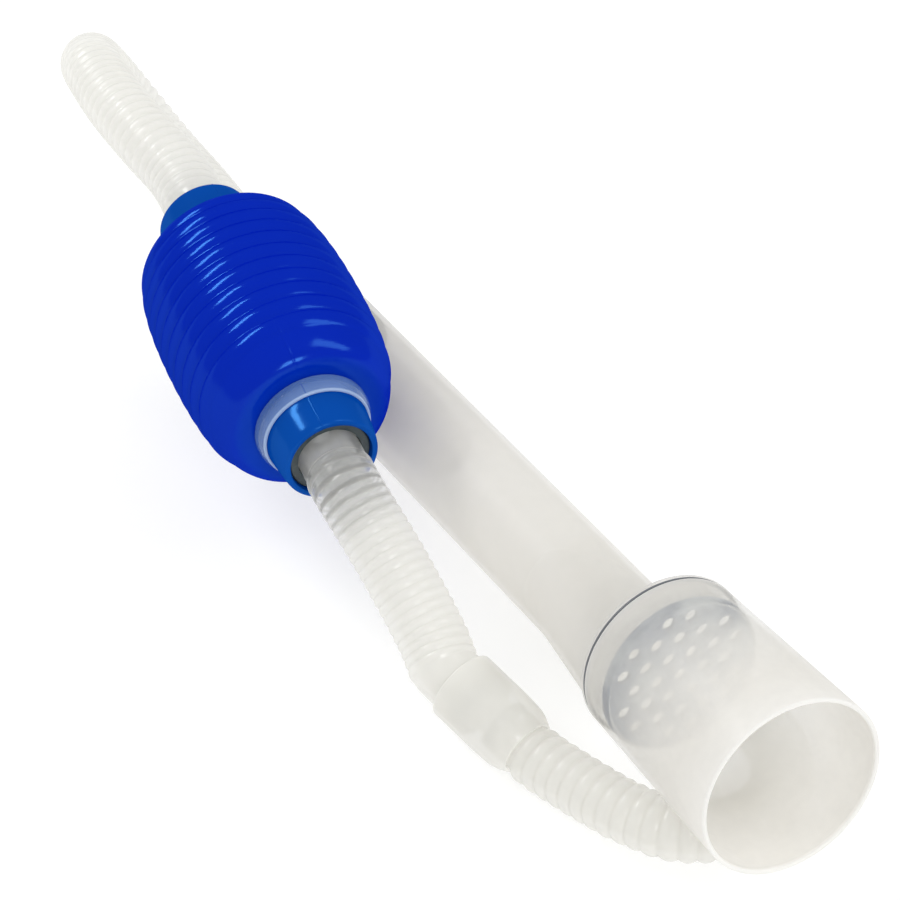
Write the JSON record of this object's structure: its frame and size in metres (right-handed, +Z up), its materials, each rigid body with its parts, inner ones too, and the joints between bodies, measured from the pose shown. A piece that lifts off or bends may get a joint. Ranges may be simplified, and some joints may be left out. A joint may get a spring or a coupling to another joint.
{
  "type": "hand-pump aquarium siphon",
  "caption": "Gravel-cleaning siphon: a wide clear barrel with strainer on a narrow riser tube, ribbed hoses and a squeeze bulb with one-way valves that starts the flow.",
  "frame": {"origin": "on the floor, under the middle of the box round the gravel tube and the bulb, without the hoses and their cuffs", "axes": "+Z up; +Y along the gravel tube from its open mouth to its far end, seen from above; +X to the right of the tube"},
  "size_m": [0.1049, 0.408, 0.0811],
  "materials": {
    "milky_tube": "translucent milky, soft gloss",
    "milky_hose": "milky ribbed vinyl, soft gloss",
    "blue_bulb": "deep blue moulded vinyl, glossy",
    "clear_collar": "clear bluish, glossy",
    "dark_seal": "dark grey soft rubber, satin",
    "strainer": "dark blue-grey, satin",
    "valve_white": "white moulded, satin",
    "valve_rubber": "dark soft rubber, satin"
  },
  "bodies": {
    "base": {"seam_gasket": "dark_seal", "riser_tube": "milky_tube", "hose_bushing": "dark_seal", "inlet_hose": "milky_hose", "near_collar": "clear_collar", "far_collar": "clear_collar", "near_seal": "dark_seal", "far_seal": "dark_seal", "near_valve_seat": "valve_white", "near_valve_pin": "valve_white", "far_valve_seat": "valve_white", "far_valve_pin": "valve_white", "stub_hose": "milky_hose", "joining_cuff": "milky_hose", "outlet_hose": "milky_hose", "outlet_end_cuff": "milky_hose"},
    "barrel": {"gravel_barrel": "milky_tube", "strainer_disc": "strainer"},
    "bulb": {"squeeze_bulb": "blue_bulb"},
    "outlet_flap": {"near_valve_disc": "valve_rubber"},
    "inlet_flap": {"far_valve_disc": "valve_rubber"}
  },
  "joints": [
    {"name": "barrel_pull", "type": "slide", "parent": "base", "child": "barrel", "axis": [0, -0.996, 0.0898], "range_m": [0, 0.02]},
    {"name": "bulb_squeeze", "type": "slide", "parent": "base", "child": "bulb", "axis": [0, 0, -1], "range_m": [0, 0.014], "stiffness_N_per_m": 1500, "deforming": ["squeeze_bulb"]},
    {"name": "outlet_valve", "type": "slide", "parent": "base", "child": "outlet_flap", "axis": [-0.1286, -0.9903, -0.0523], "range_m": [0, 0.0025]},
    {"name": "inlet_valve", "type": "slide", "parent": "base", "child": "inlet_flap", "axis": [-0.1286, -0.9903, -0.0523], "range_m": [0, 0.0025], "stiffness_N_per_m": 3}
  ],
  "couplings": [
    {"joint": "outlet_valve", "follows": "bulb_squeeze", "ratio": 0.1785}
  ]
}
